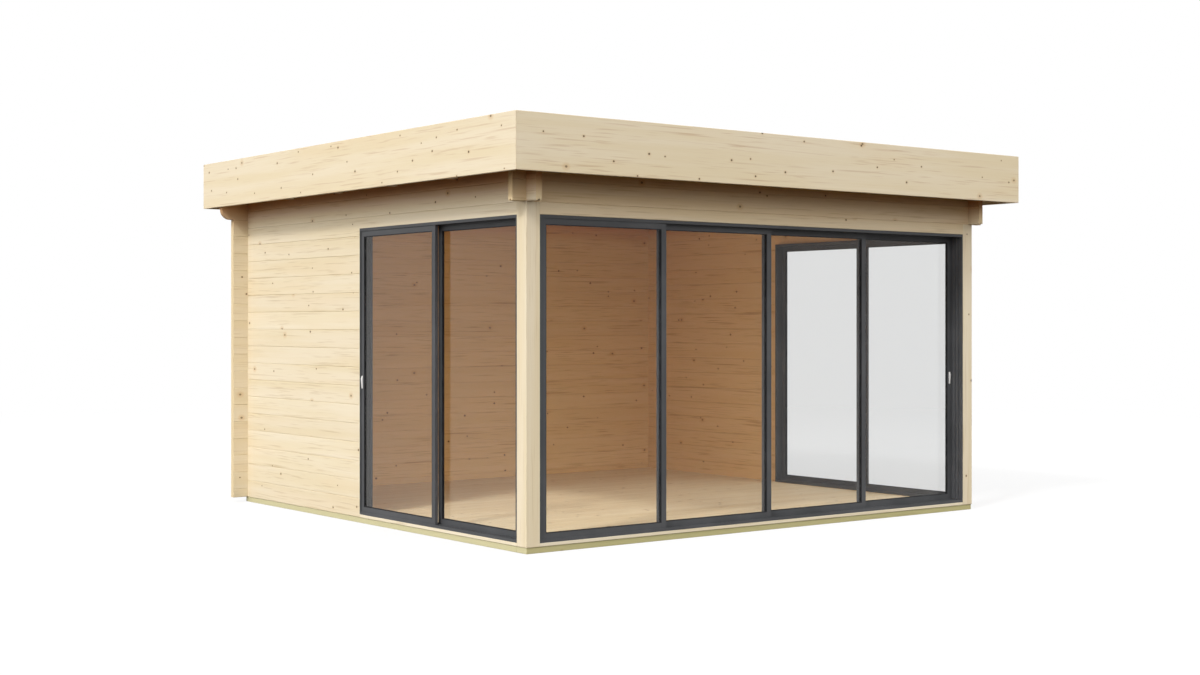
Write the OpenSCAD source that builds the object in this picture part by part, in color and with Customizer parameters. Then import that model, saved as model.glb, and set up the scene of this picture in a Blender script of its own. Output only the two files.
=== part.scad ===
// Garden office pod: a log cabin with a flat roof behind a deep fascia and
// three sets of sliding glass doors. Millimetres, +Z up, front towards -Y.
// Origin on the ground, at the centre of the roof's outline.

/* [House] */
// Width over the outer faces of the side walls
wall_w = 4200; // [3600:10:5600]
// Depth over the outer faces of the front and back walls
wall_d = 3960; // [3400:10:5600]
// Thickness of a wall log
wall_t = 44; // [34:1:60]
// Height of one log row
log_h = 135; // [115:1:160]
// Chamfer on the long edges of a log
log_chamfer = 3; // [1:0.5:5]
// Width of the tongue on top of a log
tongue_w = 14; // [10:1:18]
// Height of the tongue on top of a log
tongue_h = 9; // [6:1:14]
// Side of the square posts at the front corners
post_w = 105; // [96:1:140]
// Length of the front header logs beyond the walls
stub_len = 105; // [60:5:180]
// Length of the log ends beyond the rear corners
end_len = 125; // [60:5:190]
// Radius under the ends of the eave logs
eave_r = 80; // [40:5:110]
// Play left between neighbouring timbers
seam = 0.3; // [0.2:0.05:0.5]

/* [Base and floor] */
// Height of the base beams and joists
base_h = 40; // [30:1:80]
// Width of the base beams
base_w = 110; // [100:1:160]
// Setback of the base from the wall faces
base_inset = 5; // [0:1:20]
// Width of a floor joist
joist_w = 60; // [40:1:90]
// Widest clear gap between joists
joist_gap = 400; // [300:10:450]
// Thickness of the floor boards
floor_t = 20; // [16:1:30]
// Height of the timber sill under the door frames
sill_h = 22; // [20:1:40]

/* [Roof] */
// Reach of the fascia beyond the walls
overhang = 250; // [210:5:400]
// Height of the fascia boards
fascia_h = 357; // [260:1:420]
// Thickness of the fascia boards
fascia_t = 28; // [18:1:40]
// Height of the fascia's top edge above the wall tops
fascia_rise = 185; // [60:1:220]
// Number of roof beams
beam_n = 4; // [2:1:6]
// Width of a roof beam
beam_w = 58; // [44:1:80]
// Height of a roof beam
beam_h = 145; // [110:1:160]
// Thickness of the roof boards
deck_t = 19; // [16:1:30]
// Thickness of the roofing sheet
membrane_t = 4; // [2:0.5:8]

/* [Door frames] */
// Height of a door frame over all
frame_h = 2059; // [1900:1:2200]
// Width of a side door frame over all
side_frame_w = 1990; // [1600:10:2400]
// Height of the head and the track
rim_h = 20; // [16:1:30]
// Thickness of the head's and the track's web
web_t = 6; // [4:0.5:8]
// Thickness of the lips between the front tracks
lip_t = 3; // [2:0.5:5]
// Thickness of the box between the side tracks
side_lip_t = 20; // [8:1:24]
// Thickness of a jamb
jamb_t = 12; // [10:1:20]
// Depth of the pockets in a jamb
pocket_d = 8; // [6:0.5:9]
// Reach of a closed door into its jamb pocket
pocket_in = 3; // [1:0.5:3]
// Width and height of the rail that a door runs on
runner = 6; // [4:0.5:8]

/* [Doors] */
// Thickness of a door
door_t = 24; // [20:1:28]
// Width of a door's stiles, and the overlap of two doors
stile_w = 41; // [34:1:55]
// Height of a door's bottom rail
bottom_rail_h = 44; // [36:1:70]
// Height of a door's top rail
top_rail_h = 49; // [40:1:70]
// Thickness of the glass
glass_t = 8; // [6:1:12]
// Depth of the glass in its groove
glass_in = 10; // [6:1:14]
// Play between a door and the lips of its channel
side_play = 3.5; // [3:0.25:5]
// Play above a door
top_play = 4; // [3:0.5:6]
// Play between a door and the rail that carries it
run_play = 0.3; // [0.2:0.05:0.5]

/* [Pulls] */
// Length of a pull
pull_h = 94; // [70:1:140]
// Width of a pull
pull_w = 14; // [10:1:24]
// Thickness of a pull at its ends
pull_t = 3; // [2:0.5:5]
// Reach of a pull's beak in front of its ends
beak_out = 6.5; // [4:0.5:10]
// Height of the beak above the pull's middle
beak_up = 23; // [10:1:28]
// Height of the flat on the beak
beak_flat = 5; // [2:0.5:8]
// Height of a pull's middle above the door's foot
pull_z = 940; // [700:10:1200]

/* [Hidden] */

$fn = 48;
spare = 1;
front_doors = 4;

// Plan lines
x_wall = wall_w / 2;
y_wall = wall_d / 2;
roof_w = wall_w + 2 * overhang;
roof_d = wall_d + 2 * overhang;
eave_reach = overhang - fascia_t - seam;

// Door sets
channel_w = door_t + 2 * side_play;
front_pitch = channel_w + lip_t;
side_pitch = channel_w + side_lip_t;
front_frame_w = wall_w - 2 * post_w;
front_frame_d = lip_t + front_doors * front_pitch;
side_frame_d = post_w - seam;
front_tracks = [for (i = [0:front_doors - 1]) lip_t + i * front_pitch];
side_tracks = [for (i = [0:1]) lip_t + i * side_pitch];
door_edge = jamb_t - pocket_in;
front_door_w = (front_frame_w - 2 * door_edge + (front_doors - 1) * stile_w) / front_doors;
side_door_w = (side_frame_w - 2 * door_edge + stile_w) / 2;
door_z = web_t + runner + run_play;
door_h = frame_h - web_t - top_play - door_z;

// Levels
frame_z = base_h + sill_h;
frame_top = frame_z + frame_h;
strip_min = 20;
header_row = ceil((frame_top + strip_min - base_h) / log_h);
header_z = base_h + header_row * log_h;
header_rows = 2;
wall_top = header_z + (header_rows + 0.5) * log_h;
fascia_z = wall_top + fascia_rise - fascia_h;
side_door_end = post_w + side_frame_w - y_wall;

timber = "#e9dcbe";
treated = "#cbc29a";
boards = "#c9a878";
felt = "#4a4c4e";
anthracite = "#3a3b42";
clear_glass = [0.75, 0.82, 0.84, 0.35];
silver = "#c8c9ca";

// Cross-section of a log: chamfered edges, a tongue on top and a groove below
function log_outline(h, tongue, groove) =
    let (c = log_chamfer, m = wall_t / 2, g = tongue_w / 2 + seam, n = tongue_w / 2)
    concat(
        [[c, 0]],
        groove ? [[m - g, 0], [m - g, tongue_h + seam], [m + g, tongue_h + seam], [m + g, 0]] : [],
        [[wall_t - c, 0], [wall_t, c], [wall_t, h - c], [wall_t - c, h]],
        tongue ? [[m + n, h], [m + n, h + tongue_h], [m - n, h + tongue_h], [m - n, h]] : [],
        [[c, h], [0, h - c], [0, c]]
    );

// A log along +X from x0 to x1, with its outer face on y = 0
module log(x0, x1, z, h, tongue = true, groove = true) {
    translate([x0, 0, z])
        rotate([90, 0, 90])
            linear_extrude(x1 - x0) polygon(log_outline(h - seam, tongue, groove));
}

// What is cut from a log where another log crosses it: all but the stretch from keep_0 to keep_1
module crossing(x, z, h, keep_0, keep_1) {
    for (part = [[z - spare, keep_0], [keep_1, z + h + tongue_h + spare]])
        if (part[1] - part[0] > spare)
            translate([x - seam, -spare, part[0]])
                cube([wall_t + 2 * seam, wall_t + 2 * spare, part[1] - part[0]]);
}

// A log of the back wall or of a side wall's rear corner keeps its middle half at the crossing
module rear_crossing(x, z, row_z, h) {
    crossing(x, z, h, max(z, row_z + log_h / 4 + seam / 2), row_z + log_h * 3 / 4 - seam / 2);
}

// Side walls are drawn along +X from the front wall's face, then turned to the left wall
module on_left() {
    translate([-x_wall, -y_wall, 0]) mirror([1, -1, 0]) children();
}

module on_right() {
    mirror([1, 0, 0]) on_left() children();
}

// Logs of a side wall behind its door, up to the row that passes over the door
module side_wall_logs() {
    for (i = [0:header_row - 2]) {
        z = base_h + i * log_h;
        difference() {
            log(post_w + side_frame_w + seam, wall_d + end_len, z, log_h, groove = i > 0);
            rear_crossing(wall_d - wall_t, z, z, log_h);
        }
    }
}

// The log that passes over a side door, cut out for the head of its frame
module side_lintel_log() {
    z = header_z - log_h;
    difference() {
        log(post_w + seam, wall_d + end_len, z, log_h);
        rear_crossing(wall_d - wall_t, z, z, log_h);
        translate([0, -spare, z - spare])
            cube([post_w + side_frame_w + seam, wall_t + 2 * spare, frame_top + seam - z + spare]);
    }
}

// Header logs of a side wall: they lie on the front post and on the wall, and carry the roof beams
module side_header_logs() {
    side_lintel_log();
    for (i = [0:header_rows]) {
        z = header_z + i * log_h;
        h = i < header_rows ? log_h : log_h / 2;
        difference() {
            log(-stub_len, wall_d + end_len, z, h, tongue = i < header_rows);
            crossing(0, z, h, z + h / 2 + seam / 2, z + h - seam);
            rear_crossing(wall_d - wall_t, z, z, h);
            for (y = beam_lines())
                translate([y - beam_w / 2 - seam, -spare, wall_top - beam_h - seam])
                    cube([beam_w + 2 * seam, wall_t + 2 * spare, beam_h + spare]);
        }
    }
}

// Middles of the roof beams, counted from the front wall's face
function beam_lines() =
    let (first = wall_t, clear = wall_d - 2 * wall_t)
    [for (i = [1:beam_n]) first + clear * i / (beam_n + 1)];

module base_beams() {
    color(treated) {
        x = x_wall - base_inset;
        y = y_wall - base_inset;
        for (s = [-1, 1]) {
            translate([-x, s * (y - base_w / 2) - base_w / 2, 0]) cube([2 * x, base_w, base_h]);
            translate([s * (x - base_w / 2) - base_w / 2, base_w + seam - y, 0])
                cube([base_w, 2 * (y - base_w - seam), base_h]);
        }
    }
}

module floor_joists() {
    clear = wall_w - 2 * (base_inset + base_w);
    n = ceil((clear - joist_gap) / (joist_gap + joist_w));
    length = wall_d - 2 * (base_inset + base_w + seam);
    color(treated)
        for (i = [1:n])
            translate([clear * (i / (n + 1) - 0.5) - joist_w / 2, -length / 2, 0])
                cube([joist_w, length, base_h]);
}

module floor() {
    x = x_wall - wall_t - seam;
    y0 = front_frame_d + seam - y_wall;
    color(boards)
        translate([0, 0, base_h])
            linear_extrude(floor_t)
                difference() {
                    translate([-x, y0]) square([2 * x, y_wall - wall_t - seam - y0]);
                    for (s = [-1, 1])
                        translate([s * x_wall - post_w, -y_wall])
                            square([2 * post_w, post_w + side_frame_w + 2 * seam]);
                }
}

module front_sill() {
    color(timber)
        translate([seam - front_frame_w / 2, -y_wall, base_h])
            cube([front_frame_w - 2 * seam, front_frame_d, sill_h]);
}

module side_sill() {
    color(timber)
        translate([post_w + seam, 0, base_h]) cube([side_frame_w - seam, side_frame_d, sill_h]);
}

module left_sill() { on_left() side_sill(); }

module right_sill() { on_right() side_sill(); }

module front_left_post() {
    color(timber) translate([-x_wall, -y_wall, base_h]) cube([post_w, post_w, header_z - base_h]);
}

module front_right_post() {
    mirror([1, 0, 0]) front_left_post();
}

module left_wall() { color(timber) on_left() side_wall_logs(); }

module right_wall() { color(timber) on_right() side_wall_logs(); }

module left_header() { color(timber) on_left() side_header_logs(); }

module right_header() { color(timber) on_right() side_header_logs(); }

// What is cut from the lower corner of an eave log's end to round it
module eave_round(x, z) {
    translate([x, -spare, z])
        difference() {
            translate([-spare, 0, -spare]) cube([eave_r + spare, wall_t + 2 * spare, eave_r + spare]);
            translate([eave_r, -spare, eave_r])
                rotate([-90, 0, 0]) cylinder(r = eave_r, h = wall_t + 4 * spare);
        }
}

// The back wall starts with half a log, so its rows lie half a row above those of the side walls.
// Its two top rows run out to the fascia.
module back_wall() {
    rows = header_row + header_rows + 1;
    color(timber)
        translate([0, y_wall, 0])
            mirror([0, 1, 0])
                for (j = [0:rows - 1]) {
                    row_z = base_h + (j - 0.5) * log_h;
                    z = max(base_h, row_z);
                    h = row_z + log_h - z;
                    eave = j >= rows - 2;
                    x = x_wall + (eave ? eave_reach : end_len);
                    difference() {
                        log(-x, x, z, h, tongue = j < rows - 1, groove = j > 0);
                        for (s = [0, 1])
                            mirror([s, 0, 0]) {
                                rear_crossing(-x_wall, z, row_z, h);
                                if (j == rows - 2) eave_round(-x, z);
                            }
                    }
                }
}

module front_header() {
    color(timber)
        translate([0, -y_wall, 0]) {
            log(post_w + seam - x_wall, x_wall - post_w - seam, frame_top + seam,
                header_z - frame_top - seam, groove = false);
            for (i = [0:header_rows]) {
                z = header_z + i * log_h;
                h = i < header_rows ? log_h : log_h / 2;
                difference() {
                    log(-x_wall - stub_len, x_wall + stub_len, z, h, tongue = i < header_rows);
                    for (s = [0, 1])
                        mirror([s, 0, 0]) crossing(-x_wall, z, h, z - spare, z + h / 2 - seam / 2);
                }
            }
        }
}

module roof_beams() {
    length = 2 * (x_wall + eave_reach);
    color(timber)
        for (y = beam_lines())
            translate([-length / 2, y - beam_w / 2 - y_wall, wall_top - beam_h])
                cube([length, beam_w, beam_h - seam]);
}

// Roof boards and roofing fill the outline inside the fascia
module roof_sheet(z, t) {
    inset = 2 * (fascia_t + seam);
    translate([-(roof_w - inset) / 2, -(roof_d - inset) / 2, z]) cube([roof_w - inset, roof_d - inset, t]);
}

module roof_deck() { color(boards) roof_sheet(wall_top, deck_t); }

module roof_membrane() { color(felt) roof_sheet(wall_top + deck_t, membrane_t); }

// A fascia board of the given length, mitred at both ends, with its outer face on y = 0
module fascia_board(length) {
    color(timber)
        translate([0, 0, fascia_z])
            linear_extrude(fascia_h)
                polygon([[seam - length / 2, 0], [length / 2 - seam, 0],
                         [length / 2 - fascia_t - seam, fascia_t], [fascia_t + seam - length / 2, fascia_t]]);
}

module front_fascia() { translate([0, -roof_d / 2, 0]) fascia_board(roof_w); }

module rear_fascia() { mirror([0, 1, 0]) front_fascia(); }

module left_fascia() { translate([-roof_w / 2, 0, 0]) rotate([0, 0, -90]) fascia_board(roof_d); }

module right_fascia() { mirror([1, 0, 0]) left_fascia(); }

// Head or track of a door frame: a bar along +X with one open channel for each door,
// drawn with its outer face on y = 0 and its channels open upwards
module channel_bar(w, d, tracks, carries) {
    rotate([90, 0, 90])
        linear_extrude(w)
            difference() {
                square([d, rim_h]);
                for (y = tracks)
                    if (carries) {
                        rail_side = (channel_w - runner) / 2;
                        translate([y, web_t]) square([rail_side, rim_h]);
                        translate([y + rail_side - spare, web_t + runner]) square([runner + 2 * spare, rim_h]);
                        translate([y + rail_side + runner, web_t]) square([rail_side, rim_h]);
                    }
                    else translate([y, web_t]) square([channel_w, rim_h]);
            }
}

// Left jamb of a door frame, with a pocket for each door's stile
module jamb(d, tracks) {
    translate([0, 0, rim_h + seam])
        linear_extrude(frame_h - 2 * (rim_h + seam))
            difference() {
                square([jamb_t, d]);
                for (y = tracks) translate([jamb_t - pocket_d, y]) square([jamb_t, channel_w]);
            }
}

module door_frame(w, d, tracks) {
    color(anthracite) {
        channel_bar(w, d, tracks, true);
        translate([0, 0, frame_h]) mirror([0, 0, 1]) channel_bar(w, d, tracks, false);
        jamb(d, tracks);
        translate([w, 0, 0]) mirror([1, 0, 0]) jamb(d, tracks);
    }
}

// Stile or rail of a door: a bar along +Z, grooved for the glass on its +X side
module door_bar(w, length) {
    groove_w = glass_t + 2 * seam;
    linear_extrude(length)
        difference() {
            square([w, door_t]);
            translate([w - glass_in - seam, (door_t - groove_w) / 2]) square([w, groove_w]);
        }
}

// A door's frame, with its lower outer left corner at the origin
module door_leaf(w) {
    color(anthracite) {
        door_bar(stile_w, door_h);
        translate([w, 0, 0]) mirror([1, 0, 0]) door_bar(stile_w, door_h);
        rail_l = w - 2 * (stile_w + seam);
        translate([stile_w + seam + rail_l, 0, 0]) rotate([0, -90, 0]) door_bar(bottom_rail_h, rail_l);
        translate([stile_w + seam, 0, door_h]) rotate([0, 90, 0]) door_bar(top_rail_h, rail_l);
    }
}

module door_pane(w) {
    x = stile_w - glass_in;
    z0 = bottom_rail_h - glass_in;
    color(clear_glass)
        translate([x, (door_t - glass_t) / 2, z0])
            cube([w - 2 * x, glass_t, door_h - top_rail_h + glass_in - z0]);
}

// A bar with round ends, standing on y = 0 towards -Y
module round_bar(w, h, t) {
    rotate([90, 0, 0])
        linear_extrude(t)
            union() {
                for (s = [-1, 1]) translate([0, s * (h - w) / 2]) circle(d = w);
                square([w, h - w], center = true);
            }
}

// Side view of a pull: it thickens from both ends to a beak for the fingers
function pull_outline() =
    let (tip = -pull_t - beak_out, top = pull_h / 2)
    [[0, -top], [-pull_t, -top], [tip, beak_up - beak_flat / 2], [tip, beak_up + beak_flat / 2],
     [-pull_t, top], [0, top]];

// A pull: a slim bar with round ends, fixed flat on the stile
module pull() {
    color(silver)
        intersection() {
            round_bar(pull_w, pull_h, pull_t + beak_out);
            translate([-pull_w / 2, 0, 0]) rotate([90, 0, 90]) linear_extrude(pull_w) polygon(pull_outline());
        }
}

// Places for a door's pieces: left edge x and channel y inside its frame
module in_frame(x, y) {
    translate([x, y + side_play, door_z]) children();
}

module on_front() {
    translate([-front_frame_w / 2, -y_wall, frame_z]) children();
}

module in_front(i) {
    on_front() in_frame(door_edge + i * (front_door_w - stile_w), front_tracks[i]) children();
}

// Side door sets are drawn from their rear end towards the front of the house
module on_left_set() {
    translate([-x_wall, side_door_end, frame_z]) rotate([0, 0, -90]) children();
}

module in_left_fixed() {
    on_left_set() in_frame(side_frame_w - door_edge - side_door_w, side_tracks[1]) children();
}

module in_left_sliding() {
    on_left_set() in_frame(door_edge, side_tracks[0]) children();
}

module front_door_frame() { on_front() door_frame(front_frame_w, front_frame_d, front_tracks); }

module left_door_frame() { on_left_set() door_frame(side_frame_w, side_frame_d, side_tracks); }

module right_door_frame() { mirror([1, 0, 0]) left_door_frame(); }

module front_door(i) { in_front(i) door_leaf(front_door_w); }

module front_glass(i) { in_front(i) door_pane(front_door_w); }

module front_pull() {
    in_front(front_doors - 1) translate([front_door_w - stile_w / 2, 0, pull_z]) pull();
}

module left_fixed_door() { in_left_fixed() door_leaf(side_door_w); }

module left_fixed_glass() { in_left_fixed() door_pane(side_door_w); }

module left_sliding_door() { in_left_sliding() door_leaf(side_door_w); }

module left_sliding_glass() { in_left_sliding() door_pane(side_door_w); }

module left_pull() { in_left_sliding() translate([stile_w / 2, 0, pull_z]) pull(); }

module right_fixed_door() { mirror([1, 0, 0]) left_fixed_door(); }

module right_fixed_glass() { mirror([1, 0, 0]) left_fixed_glass(); }

module right_sliding_door() { mirror([1, 0, 0]) left_sliding_door(); }

module right_sliding_glass() { mirror([1, 0, 0]) left_sliding_glass(); }

module right_pull() { mirror([1, 0, 0]) left_pull(); }

base_beams();
floor_joists();
floor();
front_sill();
left_sill();
right_sill();
front_left_post();
front_right_post();
left_wall();
right_wall();
back_wall();
front_header();
left_header();
right_header();
roof_beams();
roof_deck();
roof_membrane();
front_fascia();
rear_fascia();
left_fascia();
right_fascia();
front_door_frame();
left_door_frame();
right_door_frame();
for (i = [0:front_doors - 1]) {
    front_door(i);
    front_glass(i);
}
front_pull();
left_fixed_door();
left_fixed_glass();
left_sliding_door();
left_sliding_glass();
left_pull();
right_fixed_door();
right_fixed_glass();
right_sliding_door();
right_sliding_glass();
right_pull();
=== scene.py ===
import math
import random

import bmesh
import bpy
from mathutils import Matrix, Vector


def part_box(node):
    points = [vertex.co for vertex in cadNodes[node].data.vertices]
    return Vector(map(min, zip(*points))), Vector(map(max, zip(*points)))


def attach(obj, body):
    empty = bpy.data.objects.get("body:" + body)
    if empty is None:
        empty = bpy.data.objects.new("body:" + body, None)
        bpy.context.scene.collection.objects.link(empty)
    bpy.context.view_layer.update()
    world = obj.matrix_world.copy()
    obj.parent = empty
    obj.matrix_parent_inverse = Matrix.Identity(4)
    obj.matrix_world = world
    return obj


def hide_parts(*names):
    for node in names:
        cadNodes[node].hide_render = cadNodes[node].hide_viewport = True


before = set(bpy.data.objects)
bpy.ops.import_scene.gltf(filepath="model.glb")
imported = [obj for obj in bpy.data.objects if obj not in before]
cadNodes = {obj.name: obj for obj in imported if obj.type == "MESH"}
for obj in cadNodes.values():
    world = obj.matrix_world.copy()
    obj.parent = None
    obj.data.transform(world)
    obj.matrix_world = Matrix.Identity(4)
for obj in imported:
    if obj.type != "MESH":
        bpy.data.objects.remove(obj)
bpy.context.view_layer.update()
scene = bpy.context.scene
scene.view_settings.view_transform = "Standard"
print("frame loaded:", len(cadNodes), "nodes")

# the camera stands level, left of the front corner, and sees both the front and the left side
viewpoint = {
    "place": (-8.1154, -10.5911, 1.4436),
    "heading": -37.44,    # degrees from straight ahead
    "lens": 50.609,
    "sensor": 36.0,
    "shiftUp": -0.01247,
    "reach": 400.0,
}
camera = bpy.data.objects.new("camera", bpy.data.cameras.new("camera"))
camera.data.sensor_width = viewpoint["sensor"]
camera.data.sensor_fit = "HORIZONTAL"
camera.data.lens = viewpoint["lens"]
camera.data.shift_y = viewpoint["shiftUp"]
camera.data.clip_end = viewpoint["reach"]
camera.location = viewpoint["place"]
camera.rotation_euler = (math.radians(90), 0, math.radians(viewpoint["heading"]))
scene.collection.objects.link(camera)
scene.camera = camera
print("camera set")


def colour(code):  # a linear colour from a web code
    parts = [int(code[i:i + 2], 16) / 255 for i in (1, 3, 5)]
    return [p / 12.92 if p <= 0.04045 else ((p + 0.055) / 1.055) ** 2.4 for p in parts] + [1.0]


class Wire:  # a shader socket that can be used in sums
    def __init__(self, tree, socket=None):
        self.tree = tree
        self.socket = socket

    def node(self, kind, settings=None, sockets=None, out=0):
        made = self.tree.nodes.new("ShaderNode" + kind)
        for key, value in (settings or {}).items():
            setattr(made, key, value)
        for key, value in (sockets or {}).items():
            if isinstance(value, Wire):
                self.tree.links.new(value.socket, made.inputs[key])
            else:
                made.inputs[key].default_value = value
        return Wire(self.tree, made.outputs[out])

    def maths(self, operation, *values):
        return self.node("Math", {"operation": operation}, dict(enumerate(values)))

    def __add__(self, other):
        return self.maths("ADD", self, other)

    def __sub__(self, other):
        return self.maths("SUBTRACT", self, other)

    def __rsub__(self, other):
        return self.maths("SUBTRACT", other, self)

    def __mul__(self, other):
        return self.maths("MULTIPLY", self, other)

    def __truediv__(self, other):
        return self.maths("DIVIDE", self, other)

    def floor(self):
        return self.maths("FLOOR", self)

    def above(self, level):
        return self.maths("GREATER_THAN", self, level)

    def rise(self, low, high):  # 0 below low, 1 above high
        return self.node("MapRange", {"interpolation_type": "SMOOTHSTEP"}, {0: self, 1: low, 2: high})

    def blend(self, under, over, how="MIX"):  # self is the share of the colour that lies over
        return self.node("Mix", {"data_type": "RGBA", "blend_type": how}, {0: self, 6: under, 7: over}, 2)

    def axes(self):
        place = self.node("TexCoord", out="Object")
        return [self.node("SeparateXYZ", sockets={0: place}, out=i) for i in range(3)]

    def facing(self, axis):
        normal = self.node("TexCoord", out="Normal")
        return self.maths("ABSOLUTE", self.node("SeparateXYZ", sockets={0: normal}, out=axis))

    def vector(self, x, y, z=0.0):
        return self.node("CombineXYZ", sockets={0: x, 1: y, 2: z})

    def noise(self, place, scale=1.0, detail=2.0):
        return self.node("TexNoise", {}, {"Vector": place, "Scale": scale, "Detail": detail})

    def chance(self, number):
        return self.node("TexWhiteNoise", {"noise_dimensions": "1D"}, {"W": number})

    def spots(self, place, scale):  # distance to the nearest spot in metres, and a number of its own
        made = self.node("TexVoronoi", {"voronoi_dimensions": "2D"}, {"Vector": place, "Scale": scale})
        own = self.node("SeparateColor", sockets={0: Wire(self.tree, made.socket.node.outputs["Color"])})
        return made / scale, own

    def bump(self, height, strength, depth):
        return self.node("Bump", {}, {"Strength": strength, "Distance": depth, "Height": height})

    def feed(self, **links):
        bsdf = self.tree.nodes["Principled BSDF"]
        for key, value in links.items():
            self.tree.links.new(value.socket, bsdf.inputs[key.replace("_", " ")])


def startMaterial(name, fixed):
    material = bpy.data.materials.new(name)
    material.use_nodes = True
    bsdf = material.node_tree.nodes["Principled BSDF"]
    for key, value in fixed.items():
        bsdf.inputs[key].default_value = value
    return material, Wire(material.node_tree)


# white surroundings, soft light from all round, a sun from the front left and a dim lamp indoors
studio = {
    "skyLight": (0.40, 1.4, 0.36),          # at the horizon, half way up and overhead
    "skyRise": (0.05, 0.5),                 # heights between which the sky brightens, 1 is overhead
    "skyFall": (0.6, 1.0),                  # heights between which it dims again
    "skyLean": (-0.1, -0.42),               # along x and y: brighter on the left and in front
    "sideGlow": 1.2,                        # more light low on the left
    "sideRange": (0.7, 0.15),               # heights between which that comes in, going down
    "sunLight": 1.5,
    "sunSpread": 8.0,                       # degrees
    "sunTravel": (0.701, 0.263, -0.663),
    "hazeLight": 1.1,                       # bright sky round the sun
    "hazePower": 12.0,                      # higher is a smaller patch
    "roomLight": 12.5,
    "roomPlace": (-0.3, -1.1, 1.65),
    "roomAim": (0.55, 0.83, 0.32),          # up towards the rear right corner
    "roomSpread": 1.4,
    "floorReach": 120.0,
    "floorDrop": 0.001,
    "floorTone": 0.9,
    "floorBounce": (0.04, 0.025, 0.012, 1.0),  # tone of the floor for the light that it throws back
    "floorGlow": (0.8, 1.0),                # share of plain white seen near the house and far off
    "glowRange": (4.0, 16.0),
}


def seenPlainly(pen):  # rays that show the surroundings: straight, by reflection and through glass
    path = pen.node("LightPath").socket.node
    straight, mirrored, through = [
        Wire(pen.tree, path.outputs[kind])
        for kind in ("Is Camera Ray", "Is Glossy Ray", "Is Transmission Ray")]
    return pen.maths("MAXIMUM", pen.maths("MAXIMUM", straight, mirrored), through)


world = bpy.data.worlds.new("studio")
scene.world = world
world.use_nodes = True
skyPen = Wire(world.node_tree)
backdrop = world.node_tree.nodes["Background"]
backdrop.inputs["Color"].default_value = (1.0, 1.0, 1.0, 1.0)
lowLight, midLight, topLight = studio["skyLight"]
skyPlace = skyPen.node("TexCoord", out="Generated")
skyX, skyY, skyHeight = [skyPen.node("SeparateXYZ", sockets={0: skyPlace}, out=i) for i in range(3)]
softLight = skyHeight.rise(*studio["skyRise"]) * (midLight - lowLight) + lowLight
softLight = softLight + skyHeight.rise(*studio["skyFall"]) * (topLight - midLight)
leanX, leanY = studio["skyLean"]
softLight = softLight * (skyX * leanX + skyY * leanY + 1)
leftward = skyPen.maths("MAXIMUM", skyX * -1.0, 0.0)
softLight = softLight + leftward * leftward * skyHeight.rise(*studio["sideRange"]) * studio["sideGlow"]
sunward = [-part for part in studio["sunTravel"]]
nearSun = skyPen.node("VectorMath", {"operation": "DOT_PRODUCT"}, {0: skyPlace, 1: sunward}, "Value")
haze = skyPen.maths("POWER", skyPen.maths("MAXIMUM", nearSun, 0.0), studio["hazePower"])
softLight = softLight + haze * studio["hazeLight"]
skySeen = seenPlainly(skyPen)
skyStrength = skySeen + (1 - skySeen) * softLight
world.node_tree.links.new(skyStrength.socket, backdrop.inputs["Strength"])

sun = bpy.data.objects.new("sun", bpy.data.lights.new("sun", "SUN"))
sun.data.energy = studio["sunLight"]
sun.data.angle = math.radians(studio["sunSpread"])
sun.rotation_euler = Vector(studio["sunTravel"]).to_track_quat("-Z", "Y").to_euler()
scene.collection.objects.link(sun)

roomLamp = bpy.data.objects.new("room_lamp", bpy.data.lights.new("room_lamp", "AREA"))
roomLamp.data.shape = "DISK"
roomLamp.data.size = studio["roomSpread"]
roomLamp.data.energy = studio["roomLight"]
roomLamp.location = studio["roomPlace"]
roomLamp.rotation_euler = Vector(studio["roomAim"]).to_track_quat("-Z", "Y").to_euler()
roomLamp.visible_camera = False
roomLamp.visible_glossy = False
roomLamp.visible_transmission = False
scene.collection.objects.link(roomLamp)


def floorMaterial():
    material = bpy.data.materials.new("studioFloor")
    material.use_nodes = True
    tree = material.node_tree
    pen = Wire(tree)
    tree.nodes.remove(tree.nodes["Principled BSDF"])
    seen = seenPlainly(pen)
    tone = [studio["floorTone"]] * 3 + [1.0]
    paint = pen.node("BsdfDiffuse", {}, {"Color": seen.blend(studio["floorBounce"], tone)})
    glow = pen.node("Emission", {}, {"Color": (1.0, 1.0, 1.0, 1.0), "Strength": 1.0})
    x, y = pen.axes()[:2]
    away = pen.maths("SQRT", x * x + y * y).rise(*studio["glowRange"])
    near, far = studio["floorGlow"]
    share = seen * (away * (far - near) + near)
    both = pen.node("MixShader", {}, {0: share, 1: paint, 2: glow})
    tree.links.new(both.socket, tree.nodes["Material Output"].inputs["Surface"])
    return material


def newPiece(name, shape, *materials):
    mesh = bpy.data.meshes.new(name)
    shape.to_mesh(mesh)
    shape.free()
    piece = bpy.data.objects.new(name, mesh)
    for material in materials:
        mesh.materials.append(material)
    scene.collection.objects.link(piece)
    return piece


floorShape = bmesh.new()
bmesh.ops.create_grid(floorShape, x_segments=1, y_segments=1, size=studio["floorReach"])
bmesh.ops.translate(floorShape, verts=floorShape.verts, vec=(0, 0, -studio["floorDrop"]))
studioFloor = newPiece("studio_floor", floorShape, floorMaterial())
print("studio lit")

fullTurn = 6.2832    # radians

# how strongly each mark shows in the timber
markShare = {
    "warm": 0.7,
    "blush": 0.22,
    "ring": 0.26,
    "eyeHalo": 0.42,
    "knotHalo": 0.32,
    "eye": 0.7,
    "knot": 0.92,
    "row": 0.3,
    "gap": 0.08,
    "endRing": 0.55,
}

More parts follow.
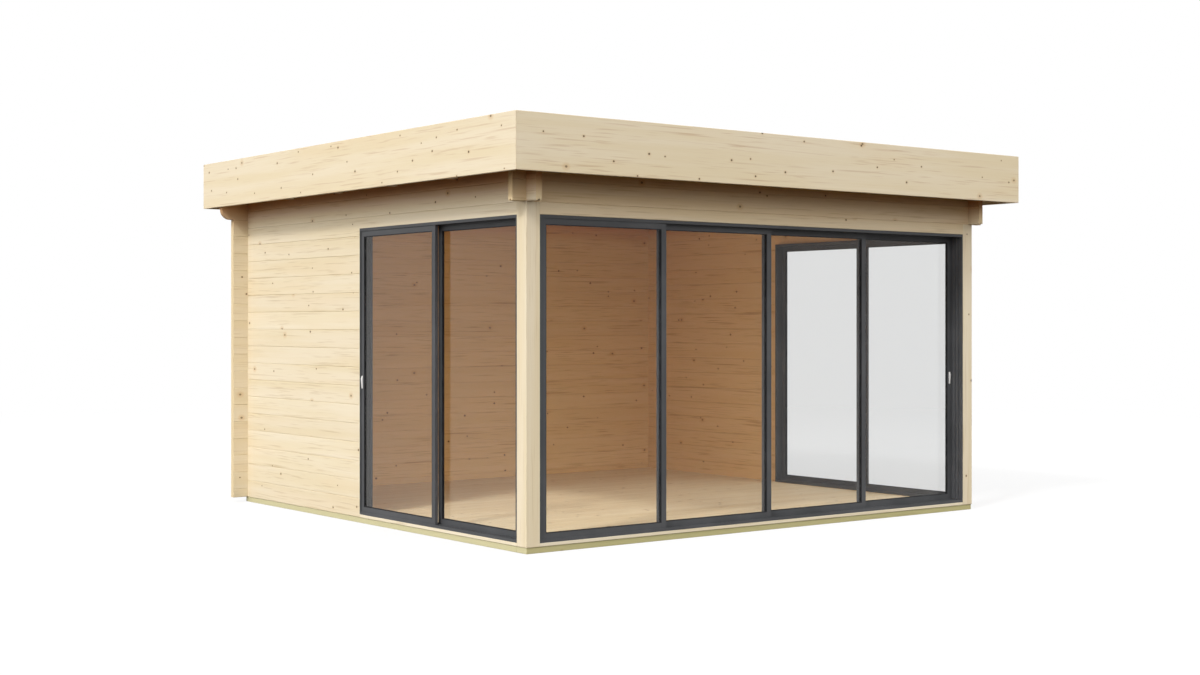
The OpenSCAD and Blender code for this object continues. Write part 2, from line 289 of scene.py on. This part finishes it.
# fresh spruce, as on the walls, the posts and the fascia
spruceLook = {
    "pale": colour("#EADDC3"),
    "warm": colour("#E4D4B1"),
    "blush": colour("#E7D0A9"),
    "ringTone": colour("#D8BD8F"),
    "streakTone": colour("#B59868"),
    "haloTone": colour("#D2AE79"),
    "knotTone": colour("#4A3522"),
    "gapTone": colour("#9A7B52"),
    "endTone": colour("#E4D2AC"),
    "endRing": colour("#D2B685"),
    # painted shade, warm and deeper, on the indoor faces
    "indoors": colour("#FFE3B9"),
    # painted shade close under the roof, multiplied into the wood
    "eavesShade": (0.72, 0.47, 0.33, 1.0),
    "eavesShadeRange": (2.12, 2.4),    # heights between which the painted eaves shade sets in
    "indoorX": (2.075, 2.07),     # distances from the middle between which a face comes to lie indoors
    "indoorY": (1.955, 1.95),
    "rowShade": (0.86, 0.82, 0.76, 1.0),
    "ringGap": 0.0075,
    "endRingGap": 0.0042,
    "heartShift": 0.018,
    "knotGap": 0.34,       # metres from knot to knot, about
    "knotSize": (0.0042, 0.0062),    # the smallest, and how much more the largest has
    "knotSkip": 0.3,       # share that is left out
    "eyeGap": 0.55,
    "eyeEdge": (0.006, 0.013),
    "eyeHalo": (0.012, 0.045),
    "eyeFlow": 0.11,       # the rings bend within this distance
    "eyeSkip": 0.45,
    "gapWidth": 0.0022,
    "strokes": 0.3,        # strength of the brown strokes outdoors
    "innerStrokes": 0.58,
    "rowStart": 0.04,
    "rowHeight": 0.135,
    "roughness": (0.55, 0.75),
    "bump": (0.35, 0.0008),
    "seed": 0.0,
}


def timberMaterial(name, grain, changes=None, board=False):
    look = dict(spruceLook, **(changes or {}))
    material, pen = startMaterial(name, {"Specular IOR Level": 0.28})
    x, y, z = pen.axes()
    along, across, depth = {
        "X": (x, z, y),
        "Y": (y, z, x),
        "Z": (z, x + y, x - y),
        "XFlat": (x, y, z),
        "YFlat": (y, x, z),
    }[grain]
    rowPlace = (across - look["rowStart"]) / look["rowHeight"]
    if board:
        own = pen.node("Attribute", {"attribute_name": "board"}, out="Fac") * 61.7
    else:
        own = rowPlace.floor() * 0.731 + depth.above(0.0) * 5.37 + look["seed"]
    luck = pen.chance(own)
    tone = pen.chance(own + 3.3)
    run = along + luck * 37.0

    # knots, and larger eyes that the grain flows round
    knotSpan, knotOwn = pen.spots(pen.vector(run, across * 1.15 + luck * 3.0), 1 / look["knotGap"])
    knotSmall, knotMore = look["knotSize"]
    knotReach = knotSpan / (knotOwn * knotMore + knotSmall)
    knotKept = knotOwn.above(look["knotSkip"])
    knot = (1 - knotReach.rise(0.6, 1.0)) * knotKept
    knotHalo = (1 - knotReach.rise(0.9, 2.4)) * knotKept
    eyeSpan, eyeOwn = pen.spots(pen.vector(run + 4.4, across * 1.3 - luck * 2.0), 1 / look["eyeGap"])
    eyeKept = eyeOwn.above(look["eyeSkip"])
    eye = (1 - eyeSpan.rise(*look["eyeEdge"])) * eyeKept
    eyeHalo = (1 - eyeSpan.rise(*look["eyeHalo"])) * eyeKept
    flow = (1 - eyeSpan.rise(0.0, look["eyeFlow"])) * eyeKept

    # growth rings, fibres, long bands, short brown strokes and a blush here and there
    swirl = pen.noise(pen.vector(run * 0.42, across * 3.4, depth * 3.4), detail=1.0)
    phase = across / look["ringGap"] + swirl * 8.0 + flow * 2.2
    rings = (pen.maths("SINE", phase * fullTurn) * 0.5 + 0.5).rise(0.35, 1.0)
    fibre = pen.noise(pen.vector(run * 3.0, across * 105.0, depth * 105.0), detail=2.0)
    bands = pen.noise(pen.vector(run * 0.5, across * 11.0, depth * 11.0), detail=2.0)
    short = pen.noise(pen.vector(run * 3.4, across * 96.0, depth * 16.0 + 7.0), detail=1.0).rise(0.56, 0.74)
    long = pen.noise(pen.vector(run * 1.4, across * 48.0, depth * 12.0 + 2.0), detail=1.0).rise(0.64, 0.78)
    patch = pen.noise(pen.vector(run * 0.8, across * 4.6, depth * 4.6 + 3.0), detail=1.0)
    blush = patch.rise(0.52, 0.74)

    wood = (bands.rise(0.34, 0.68) * markShare["warm"]).blend(look["pale"], look["warm"])
    wood = (blush * markShare["blush"]).blend(wood, look["blush"])
    wood = (rings * fibre.rise(0.2, 0.8) * markShare["ring"]).blend(wood, look["ringTone"])
    strokes = look["strokes"]
    if look["indoors"]:
        indoors = pen.maths("ABSOLUTE", x).rise(*look["indoorX"])
        indoors = indoors * pen.maths("ABSOLUTE", y).rise(*look["indoorY"])
        strokes = indoors * (look["innerStrokes"] - strokes) + strokes
    wood = (short * patch.rise(0.3, 0.55) * strokes).blend(wood, look["streakTone"])
    wood = (long * strokes).blend(wood, look["streakTone"])
    wood = (eyeHalo * markShare["eyeHalo"]).blend(wood, look["haloTone"])
    wood = (knotHalo * markShare["knotHalo"]).blend(wood, look["haloTone"])
    dark = pen.maths("MAXIMUM", eye * markShare["eye"], knot * markShare["knot"])
    wood = dark.blend(wood, look["knotTone"])
    wood = (tone * markShare["row"]).blend(wood, look["rowShade"], "MULTIPLY")
    if not board and look["gapWidth"] > 0:
        edge = pen.maths("PINGPONG", rowPlace, 0.5) * look["rowHeight"]
        gap = 1 - edge.rise(look["gapWidth"] * 0.4, look["gapWidth"])
        wood = (gap * markShare["gap"]).blend(wood, look["gapTone"])

    # cut ends show rings round a heart far beside the timber, so they look nearly straight
    rowRest = (rowPlace - rowPlace.floor() - 0.5) * look["rowHeight"]
    fromHeart = pen.vector(rowRest, depth + look["heartShift"])
    span = pen.node("VectorMath", {"operation": "LENGTH"}, {0: fromHeart}, "Value")
    endPhase = span / look["endRingGap"] + swirl * 2.5
    endRings = pen.maths("SINE", endPhase * fullTurn) * 0.5 + 0.5
    endWood = (endRings * markShare["endRing"]).blend(look["endTone"], look["endRing"])
    cutEnd = pen.facing("XYZ".index(grain[0])).above(0.75)
    wood = cutEnd.blend(wood, endWood)

    # painted shade: deeper and warmer close under the roof and on the indoor faces
    if look["eavesShade"]:
        wood = z.rise(*look["eavesShadeRange"]).blend(wood, look["eavesShade"], "MULTIPLY")
    if look["indoors"]:
        wood = indoors.blend(wood, look["indoors"], "MULTIPLY")

    low, high = look["roughness"]
    rough = fibre * (high - low) + low
    height = fibre * 0.5 + rings * 0.35 - knot * 0.6 - eye * 0.5
    pen.feed(Base_Color=wood, Roughness=rough, Normal=pen.bump(height, *look["bump"]))
    return material


treatedLook = {
    "pale": colour("#C0B986"),
    "warm": colour("#B4AB76"),
    "blush": colour("#D2C69B"),
    "ringTone": colour("#B5AC7C"),
    "streakTone": colour("#9A8B5C"),
    "haloTone": colour("#A8925A"),
    "endTone": colour("#D2CBA2"),
    "endRing": colour("#B8AE80"),
    "eavesShade": None,
    "indoors": None,
    "knotGap": 0.26,
    "rowStart": -0.2,
    "rowHeight": 0.6,
    "gapWidth": 0.0,
}
spruceWhole = {"rowStart": 0.0, "rowHeight": 20.0, "gapWidth": 0.0, "eavesShade": None}
fasciaLook = dict(spruceWhole, knotGap=0.24, strokes=0.32, streakTone=colour("#B98F62"))
sillLook = dict(spruceWhole, pale=colour("#F0E5CD"), warm=colour("#EADCBE"))
# the side logs get a deeper painted shade under the eaves
sideShadeLook = {"eavesShade": (0.64, 0.36, 0.2, 1.0), "eavesShadeRange": (2.19, 2.4)}
# the front header's wood is warmed and deepened to paint the shade under the roof
headerShadeLook = {
    "pale": colour("#EEDDBE"),
    "warm": colour("#E7D1A8"),
    "blush": colour("#E6C7A1"),
    "eavesShade": (0.72, 0.58, 0.45, 1.0),
    "seed": 4.7,
}
floorLook = {
    "pale": colour("#F1E0BD"),
    "warm": colour("#E9D3A8"),
    "gapWidth": 0.0,
    "eavesShade": None,
    "indoors": None,
}
roofBoardLook = {"pale": colour("#DFCCA2"), "warm": colour("#D3B884"), "gapWidth": 0.0, "eavesShade": None}

timber = {
    "sideLogs": timberMaterial("spruceSideLogs", "Y", sideShadeLook),
    "backLogs": timberMaterial("spruceBackLogs", "X", {"rowStart": 0.1075, "seed": 2.1}),
    "frontLogs": timberMaterial("spruceFrontLogs", "X", headerShadeLook),
    "posts": timberMaterial("sprucePosts", "Z", dict(spruceWhole, seed=6.2)),
    "fasciaX": timberMaterial("spruceFasciaFront", "X", dict(fasciaLook, seed=8.4)),
    "fasciaY": timberMaterial("spruceFasciaSide", "Y", dict(fasciaLook, seed=9.9)),
    "sillX": timberMaterial("spruceSillFront", "X", dict(sillLook, seed=11.3)),
    "sillY": timberMaterial("spruceSillSide", "Y", dict(sillLook, seed=12.8)),
    "beams": timberMaterial("spruceBeams", "X", dict(spruceWhole, seed=14.1)),
    "baseX": timberMaterial("treatedBeams", "X", dict(treatedLook, seed=15.6)),
    "joists": timberMaterial("treatedJoists", "Y", dict(treatedLook, seed=17.2)),
    "floor": timberMaterial("spruceFloor", "XFlat", floorLook, board=True),
    "roof": timberMaterial("spruceRoofBoards", "YFlat", roofBoardLook, board=True),
}
print("timber ready:", len(timber))

# dark powder coat on the door frames and doors
coatLook = {
    "tone": colour("#464749"),
    "worn": colour("#525355"),
    "wornRange": (0.35, 0.75),
    "roughness": (0.5, 0.64),
    "cloudScale": 3.2,
    "grainSize": 0.0012,
    "bump": (0.12, 0.0003),
}


def coatMaterial():
    material, pen = startMaterial("anthraciteCoat", {"Specular IOR Level": 0.3})
    place = pen.vector(*pen.axes())
    cloud = pen.noise(place, coatLook["cloudScale"], 3.0)
    peel = pen.noise(place, 1 / coatLook["grainSize"], 2.0)
    tone = cloud.rise(*coatLook["wornRange"]).blend(coatLook["tone"], coatLook["worn"])
    low, high = coatLook["roughness"]
    pen.feed(Base_Color=tone, Roughness=cloud * (high - low) + low, Normal=pen.bump(peel, *coatLook["bump"]))
    return material


# clear glass; the light of the lamps and the sky passes straight through it
glassLook = {
    "tone": (0.86, 0.865, 0.865, 1.0),
    "shade": (0.985, 0.985, 0.985, 1.0),
    "bend": 1.26,
}


def glassMaterial():
    fixed = {
        "Transmission Weight": 1.0,
        "Roughness": 0.0,
        "IOR": glassLook["bend"],
        "Base Color": glassLook["tone"],
    }
    material, pen = startMaterial("clearGlass", fixed)
    tree = material.node_tree
    path = pen.node("LightPath").socket.node
    through = pen.node("BsdfTransparent", {}, {"Color": glassLook["shade"]})
    seen = Wire(tree, tree.nodes["Principled BSDF"].outputs[0])
    for kind in ("Is Shadow Ray", "Is Diffuse Ray"):
        seen = pen.node("MixShader", {}, {0: Wire(tree, path.outputs[kind]), 1: seen, 2: through})
    tree.links.new(seen.socket, tree.nodes["Material Output"].inputs["Surface"])
    return material


# matt silver on the pulls, bare aluminium on the roofing's clamping strip
silverLook = {
    "tone": colour("#F6F5F2"),
    "dull": colour("#E9E8E5"),
    "metallic": 0.15,
    "roughness": (0.32, 0.44),
}
aluminiumLook = {
    "tone": colour("#D9DADB"),
    "dull": colour("#B9BBBD"),
    "metallic": 0.6,
    "roughness": (0.36, 0.5),
}
brushing = {"across": 900.0, "along": 30.0, "bump": (0.1, 0.0002)}


def metalMaterial(name, look):
    material, pen = startMaterial(name, {"Metallic": look["metallic"]})
    x, y, z = pen.axes()
    across = brushing["across"]
    brush = pen.noise(pen.vector(x * across, y * across, z * brushing["along"]), 1.0, 2.0)
    low, high = look["roughness"]
    tone = brush.blend(look["dull"], look["tone"])
    pen.feed(Base_Color=tone, Roughness=brush * (high - low) + low, Normal=pen.bump(brush, *brushing["bump"]))
    return material


# black rubber of the glazing seals, the end stops and the brushes
rubberLook = {
    "tone": colour("#1A1B1D"),
    "dusty": colour("#2B2C2F"),
    "dustScale": 14.0,
    "skinScale": 700.0,
    "bump": (0.15, 0.0003),
}


def rubberMaterial():
    material, pen = startMaterial("sealRubber", {"Specular IOR Level": 0.3})
    place = pen.vector(*pen.axes())
    dust = pen.noise(place, rubberLook["dustScale"], 3.0)
    skin = pen.noise(place, rubberLook["skinScale"], 2.0)
    tone = dust.rise(0.4, 0.75).blend(rubberLook["tone"], rubberLook["dusty"])
    pen.feed(Base_Color=tone, Roughness=dust * 0.2 + 0.55, Normal=pen.bump(skin, *rubberLook["bump"]))
    return material


# roofing felt in lapped lengths, turned up behind the fascia under a screwed strip
roofing = {
    "lengths": 5,
    "lap": 0.09,
    "sheet": 0.004,
    "lapRise": 0.0035,
    "lapFall": 0.9,         # share of its rise that a lap loses at its rear edge
    "sink": 0.001,          # how far laps and the wedge reach into the sheet, and laps stay from its ends
    "upstand": 0.105,
    "wedge": 0.035,
    "stripHeight": 0.028,
    "stripThick": 0.003,
    "stripPlay": 0.0002,
    "stripDrop": 0.006,     # below the top of the felt
    "stripEase": 0.0007,
    "screwGap": 0.24,
    "screwHead": 0.0055,
    "screwCrown": 0.55,     # share of the head's radius that is flat
    "screwRise": 0.0026,
    "screwSides": 12,
    "slot": "roofing",
}

# mineral roofing felt
feltLook = {
    "dark": colour("#3A3C3E"),
    "light": colour("#74777A"),
    "stain": colour("#5A5A55"),
    "bitumen": colour("#17181A"),
    "bleed": 0.009,
    "gritScale": 420.0,
    "cloudScale": 1.6,
    "bump": (0.5, 0.0012),
}


def feltMaterial():
    material, pen = startMaterial("mineralFelt", {"Specular IOR Level": 0.25})
    x, y, z = pen.axes()
    place = pen.vector(x, y, z)
    grit = pen.noise(place, feltLook["gritScale"], 2.0)
    cloud = pen.noise(place, feltLook["cloudScale"], 3.0)
    low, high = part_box("roof_membrane")
    width = (high.y - low.y) / roofing["lengths"]
    row = (y - low.y + roofing["lap"] / 2) / width
    tone = grit.rise(0.38, 0.66).blend(feltLook["dark"], feltLook["light"])
    tone = (cloud.rise(0.45, 0.7) * 0.4).blend(tone, feltLook["stain"])
    tone = (pen.chance(row.floor()) * 0.3).blend(tone, feltLook["dark"])
    # bitumen that has run out along each lap
    ragged = pen.noise(pen.vector(x * 9.0, row.floor()), 1.0, 3.0) * feltLook["bleed"] * 2.0
    bleed = pen.maths("LESS_THAN", pen.maths("PINGPONG", row, 0.5) * width, ragged)
    tone = (bleed * 0.85).blend(tone, feltLook["bitumen"])
    rough = grit * 0.15 + 0.8 - bleed * 0.45
    pen.feed(Base_Color=tone, Roughness=rough, Normal=pen.bump(grit * (1 - bleed), *feltLook["bump"]))
    return material


coat = coatMaterial()
glass = glassMaterial()
silver = metalMaterial("mattSilver", silverLook)
aluminium = metalMaterial("bareAluminium", aluminiumLook)
rubber = rubberMaterial()
felt = feltMaterial()


def dress(material, *names):  # gives a material to CAD nodes
    for name in names:
        slots = cadNodes[name].data.materials
        slots.clear()
        slots.append(material)


dress(timber["sideLogs"], "left_wall", "right_wall", "left_header", "right_header")
dress(timber["backLogs"], "back_wall")
dress(timber["frontLogs"], "front_header")
dress(timber["joists"], "floor_joists")
dress(coat, "front_door_frame", "left_door_frame", "right_door_frame")

# every door: its frame node, glass node and the body it moves with
doors = {}
for number in range(1, 5):
    body = "house" if number == 1 else f"front_slider_{number}"
    doors[f"front_{number}"] = (f"front_door_{number}", f"front_glass_{number}", body)
for side in ("left", "right"):
    doors[f"{side}_fixed"] = (f"{side}_fixed_door", f"{side}_fixed_glass", "house")
    doors[f"{side}_sliding"] = (f"{side}_sliding_door", f"{side}_sliding_glass", f"{side}_slider")
for door, pane, body in doors.values():
    dress(glass, pane)
print("CAD nodes dressed")

hair = 1e-4        # metres: corners closer than this count as level
boardRun = 1.0     # metres: a longer edge runs along its board or sheet


def boxIn(shape, low, high):  # a box between two corners; gives its corners
    verts = bmesh.ops.create_cube(shape, size=1.0)["verts"]
    low, high = Vector(low), Vector(high)
    bmesh.ops.scale(shape, vec=high - low, verts=verts)
    bmesh.ops.translate(shape, vec=(low + high) / 2, verts=verts)
    return verts


def edgesOf(verts, test):  # edges that meet verts and whose two ends pass the test, in a fixed order
    edges = {edge for vert in verts for edge in vert.link_edges}
    kept = [e for e in edges if test(e.verts[0].co, e.verts[1].co)]
    return sorted(kept, key=lambda e: [round(c, 5) for c in (*e.verts[0].co, *e.verts[1].co)])


def ease(shape, edges, width, segments=1):
    bmesh.ops.bevel(
        shape, geom=edges, offset=width, offset_type="OFFSET", affect="EDGES",
        segments=segments, profile=0.5, material=-1, clamp_overlap=True)


def within(corner, halfX, halfY):  # whether a corner lies inside a rectangle round the middle
    return abs(corner.x) < halfX - hair and abs(corner.y) < halfY - hair


def cornersOf(geom):
    return [part for part in geom if isinstance(part, bmesh.types.BMVert)]


def ringOf(shape, halfX, halfY, width, height):  # a flat ring raised to a height; gives its upper corners
    verts = bmesh.ops.create_grid(shape, x_segments=1, y_segments=1, size=1.0)["verts"]
    bmesh.ops.scale(shape, vec=(halfX, halfY, 1.0), verts=verts)
    sheet = verts[0].link_faces[0]
    ring = bmesh.ops.inset_region(
        shape, faces=[sheet], thickness=width, use_boundary=True, use_even_offset=True)["faces"]
    bmesh.ops.delete(shape, geom=[sheet], context="FACES_ONLY")
    upper = cornersOf(bmesh.ops.extrude_face_region(shape, geom=ring)["geom"])
    bmesh.ops.translate(shape, vec=(0, 0, height), verts=upper)
    bmesh.ops.recalc_face_normals(shape, faces=shape.faces)
    return upper


# sawn and extruded edges are never quite sharp: these nodes get their arrises eased
easedEdges = {
    "timberWidth": 0.0022,
    "coatWidth": 0.0008,
    "pullWidth": 0.001,
    "sharp": 30.0,    # degrees
    "flat": 1.0,      # degrees
    "weld": 0.00002,
}


def easedCopy(name, material, body, width):
    shape = bmesh.new()
    shape.from_mesh(cadNodes[name].data)
    bmesh.ops.remove_doubles(shape, verts=shape.verts, dist=easedEdges["weld"])
    flat = math.radians(easedEdges["flat"])
    bmesh.ops.dissolve_limit(shape, angle_limit=flat, verts=shape.verts, edges=shape.edges)
    limit = math.radians(easedEdges["sharp"])
    ease(shape, [e for e in shape.edges if e.calc_face_angle(0.0) > limit], width, 2)
    piece = newPiece(f"{name}_eased", shape, material)
    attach(piece, body)
    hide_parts(name)


easedTimber = {
    "posts": ("front_left_post", "front_right_post"),
    "fasciaX": ("front_fascia", "rear_fascia"),
    "fasciaY": ("left_fascia", "right_fascia"),
    "sillX": ("front_sill",),
    "sillY": ("left_sill", "right_sill"),
    "beams": ("roof_beams",),
}
for finish, names in easedTimber.items():
    for name in names:
        easedCopy(name, timber[finish], "house", easedEdges["timberWidth"])
easedCopy("base_beams", timber["baseX"], "house", easedEdges["timberWidth"])
for door, pane, body in doors.values():
    easedCopy(door, coat, body, easedEdges["coatWidth"])
pulls = {"front_pull": "front_slider_4", "left_pull": "left_slider", "right_pull": "right_slider"}
for pull, body in pulls.items():
    easedCopy(pull, silver, body, easedEdges["pullWidth"])
print("edges eased")


def layBoard(shape, layer, luck, low, high, veeWidth, atJoint):  # a board with eased joints, numbered by luck
    before = set(shape.faces)
    verts = boxIn(shape, low, high)
    ease(shape, edgesOf(verts, atJoint), veeWidth)
    for face in set(shape.faces) - before:
        face[layer] = luck


# floor boards with a small V between them, shorter where the side doors stand
floorBoards = {"frontRows": 14, "backRows": 13, "veeWidth": 0.0024, "gap": 0.0005, "slot": "floor_boards"}


def buildFloor():
    low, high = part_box("floor")
    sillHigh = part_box("left_sill")[1]
    shape = bmesh.new()
    board = shape.faces.layers.float.new("board")
    draw = random.Random(31)
    turn = sillHigh.y + floorBoards["gap"]
    inner = abs(sillHigh.x) - floorBoards["gap"]
    half = floorBoards["gap"] / 2
    zones = [(low.y, turn, inner, floorBoards["frontRows"]), (turn, high.y, high.x, floorBoards["backRows"])]
    for start, end, reach, rows in zones:
        width = (end - start) / rows
        for row in range(rows):
            y = start + row * width
            layBoard(
                shape, board, draw.random(),
                (-reach, y + half, low.z), (reach, y + width - half, high.z), floorBoards["veeWidth"],
                lambda a, b: min(a.z, b.z) > high.z - hair and abs(a.x - b.x) > boardRun)
    piece = newPiece("floor_boards", shape, timber["floor"])
    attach(piece, "house")
    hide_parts("floor")


buildFloor()
print("floor laid")

# roof boards run from front to back and show their V joints from below
roofBoards = {"rows": 48, "veeWidth": 0.0026, "gap": 0.0005, "slot": "roof_boards"}


def buildRoofBoards():
    low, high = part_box("roof_deck")
    shape = bmesh.new()
    board = shape.faces.layers.float.new("board")
    draw = random.Random(47)
    width = (high.x - low.x) / roofBoards["rows"]
    half = roofBoards["gap"] / 2
    for row in range(roofBoards["rows"]):
        x = low.x + row * width
        layBoard(
            shape, board, draw.random(),
            (x + half, low.y, low.z), (x + width - half, high.y, high.z), roofBoards["veeWidth"],
            lambda a, b: max(a.z, b.z) < low.z + hair and abs(a.y - b.y) > boardRun)
    piece = newPiece("roof_boards", shape, timber["roof"])
    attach(piece, "house")
    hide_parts("roof_deck")


buildRoofBoards()
print("roof boarded")


def joinInto(shape, other):  # adds the second shape to the first
    mesh = bpy.data.meshes.new("joined")
    other.to_mesh(mesh)
    other.free()
    shape.from_mesh(mesh)
    bpy.data.meshes.remove(mesh)


def buildRoofing():
    low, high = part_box("roof_membrane")
    shape = bmesh.new()
    sink = roofing["sink"]
    width = (high.y - low.y) / roofing["lengths"]
    for row in range(roofing["lengths"]):
        y = low.y + row * width
        boxIn(shape, (low.x, y, low.z), (high.x, y + width, high.z))
        if row:
            verts = boxIn(
                shape,
                (low.x + sink, y - roofing["lap"] / 2, high.z - sink),
                (high.x - sink, y + roofing["lap"] / 2, high.z + roofing["lapRise"]))
            rear = [v for v in verts if v.co.z > high.z and v.co.y > y]
            bmesh.ops.translate(shape, vec=(0, 0, -roofing["lapFall"] * roofing["lapRise"]), verts=rear)
            crest = high.z + roofing["lapRise"] / 2
            top = edgesOf(verts, lambda a, b: min(a.z, b.z) > crest and abs(a.x - b.x) > boardRun)
            ease(shape, top, roofing["lapRise"] * 0.5, 2)
    # the felt is turned up all round
    upright = bmesh.new()
    rim = ringOf(upright, high.x, high.y, roofing["sheet"], roofing["upstand"])
    inner = edgesOf(rim, lambda a, b: within(a, high.x, high.y) and within(b, high.x, high.y))
    ease(upright, [e for e in inner if min(v.co.z for v in e.verts) > hair], roofing["sheet"] * 0.4, 2)
    bmesh.ops.translate(upright, vec=(0, 0, high.z), verts=upright.verts)
    joinInto(shape, upright)
    # a wedge eases the felt round the inner corner
    wedge = bmesh.new()
    reach = roofing["wedge"]
    slope = ringOf(wedge, high.x - roofing["sheet"], high.y - roofing["sheet"], reach, reach)
    inside = [v for v in slope if within(v.co, high.x - reach, high.y - reach)]
    bmesh.ops.translate(wedge, vec=(0, 0, sink - reach), verts=inside)
    bmesh.ops.translate(wedge, vec=(0, 0, high.z), verts=wedge.verts)
    joinInto(shape, wedge)
    piece = newPiece("roofing_felt", shape, felt)
    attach(piece, "house")
    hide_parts("roof_membrane")


def buildRoofStrip():
    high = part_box("roof_membrane")[1]
    reachX = high.x - roofing["sheet"] - roofing["stripPlay"]
    reachY = high.y - roofing["sheet"] - roofing["stripPlay"]
    level = high.z + roofing["upstand"] - roofing["stripHeight"] - roofing["stripDrop"]
    shape = bmesh.new()
    rim = ringOf(shape, reachX, reachY, roofing["stripThick"], roofing["stripHeight"])
    ease(shape, edgesOf(rim, lambda a, b: min(a.z, b.z) > hair), roofing["stripEase"])
    bmesh.ops.translate(shape, vec=(0, 0, level), verts=shape.verts)
    # pan-head screws along the strip, each turned to face into the roof
    for axis, quarter, reach, face in (("X", 90, reachX, reachY), ("Y", -90, reachY, reachX)):
        count = round(2 * reach / roofing["screwGap"])
        for side in (-1, 1):
            turn = Matrix.Rotation(math.radians(quarter * side), 4, axis)
            away = side * (face - roofing["stripThick"] - roofing["screwRise"] / 2)
            for i in range(count):
                along = -reach + (i + 0.5) * 2 * reach / count
                spot = (along, away) if axis == "X" else (away, along)
                lift = Matrix.Translation((*spot, level + roofing["stripHeight"] / 2))
                head = bmesh.ops.create_cone(
                    shape, cap_ends=True, segments=roofing["screwSides"],
                    radius1=roofing["screwHead"], radius2=roofing["screwHead"] * roofing["screwCrown"],
                    depth=roofing["screwRise"])["verts"]
                bmesh.ops.transform(shape, matrix=lift @ turn, verts=head)
    piece = newPiece("roofing_strip", shape, aluminium)
    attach(piece, "house")


buildRoofing()
buildRoofStrip()
print("roofing laid")

# rubber glazing seals on both sides of every pane
glazing = {"width": 0.005, "depth": 0.0072, "round": 0.0016, "groove": 0.010, "slot": "anthracite"}


def buildSeal(name, pane, body):
    low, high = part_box(pane)
    across = 0 if high.x - low.x > high.y - low.y else 1
    middle = (low + high) / 2
    half = (high - low) / 2
    span = half[across] - glazing["groove"]
    tall = half.z - glazing["groove"]
    shape = bmesh.new()
    raised = ringOf(shape, span, tall, glazing["width"], glazing["depth"])
    inner = edgesOf(raised, lambda a, b: within(a, span, tall) and within(b, span, tall))
    lip = [e for e in inner if min(v.co.z for v in e.verts) > hair]
    ease(shape, lip, glazing["round"], 3)
    bmesh.ops.recalc_face_normals(shape, faces=shape.faces)
    bmesh.ops.translate(shape, vec=(0, 0, half[1 - across]), verts=shape.verts)
    # the same ring lies on the other face of the glass
    twin = bmesh.ops.duplicate(shape, geom=shape.verts[:] + shape.edges[:] + shape.faces[:])["geom"]
    bmesh.ops.rotate(shape, matrix=Matrix.Rotation(math.pi, 3, "Y"), verts=cornersOf(twin))
    stand = Matrix.Rotation(math.radians(90), 4, "X")
    if across == 1:
        stand = Matrix.Rotation(math.radians(90), 4, "Z") @ stand
    bmesh.ops.transform(shape, matrix=Matrix.Translation(middle) @ stand, verts=shape.verts)
    piece = newPiece(f"{name}_seal", shape, rubber)
    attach(piece, body)


for name, (door, pane, body) in doors.items():
    buildSeal(name, pane, body)
print("panes sealed:", len(doors))

# rubber end stops close both ends of every channel, in the tracks and in the heads
endStop = {
    "length": 0.004,
    "inset": 0.0003,
    "play": 0.0034,     # past both faces of the door
    "web": 0.006,       # from the frame's edge to the bottom of a channel
    "rim": 0.0195,      # from the frame's edge to the rim of a channel
    "round": 0.0006,
    "slot": "anthracite",
}


def buildEndStops(side):
    low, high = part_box(f"{side}_door_frame")
    run = 0 if high.x - low.x > high.y - low.y else 1
    starts = (low[run] + endStop["inset"], high[run] - endStop["inset"] - endStop["length"])
    track = (low.z + endStop["web"], low.z + endStop["rim"])
    head = (high.z - endStop["rim"], high.z - endStop["web"])
    shape = bmesh.new()
    for name, (door, pane, body) in doors.items():
        if not name.startswith(side):
            continue
        doorLow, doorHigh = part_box(door)
        for start in starts:
            for bottom, top in (track, head):
                first, last = Vector((0, 0, bottom)), Vector((0, 0, top))
                first[run], last[run] = start, start + endStop["length"]
                first[1 - run] = doorLow[1 - run] - endStop["play"]
                last[1 - run] = doorHigh[1 - run] + endStop["play"]
                verts = boxIn(shape, first, last)
                ease(shape, edgesOf(verts, lambda a, b: True), endStop["round"])
    piece = newPiece(f"{side}_end_stops", shape, rubber)
    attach(piece, "house")


for side in ("front", "left", "right"):
    buildEndStops(side)
print("end stops set")

# a brush strip closes the gap between each front door and the next
brush = {
    "width": 0.0068,
    "backing": 0.0014,
    "pile": 0.0046,
    "pileShare": 0.7,    # width of the pile against its backing
    "pileGap": 0.001,
    "endGap": 0.017,
    "slot": "anthracite",
}


def buildBrush(number):
    low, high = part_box(f"front_door_{number}")
    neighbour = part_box(f"front_door_{number - 1}")[1]
    middle = (low.x + neighbour.x) / 2
    bottom, top = low.z + brush["endGap"], high.z - brush["endGap"]
    shape = bmesh.new()
    half = brush["width"] / 2
    boxIn(shape, (middle - half, low.y - brush["backing"], bottom), (middle + half, low.y, top))
    tip = low.y - brush["backing"] - brush["pile"]
    pile = boxIn(
        shape,
        (middle - half * brush["pileShare"], tip, bottom + brush["pileGap"]),
        (middle + half * brush["pileShare"], low.y - brush["backing"], top - brush["pileGap"]))
    ease(shape, edgesOf(pile, lambda a, b: max(a.y, b.y) < tip + hair), half * 0.5, 3)
    piece = newPiece(f"front_{number}_brush", shape, rubber)
    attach(piece, f"front_slider_{number}")


for number in range(2, 5):
    buildBrush(number)
print("brushes set")
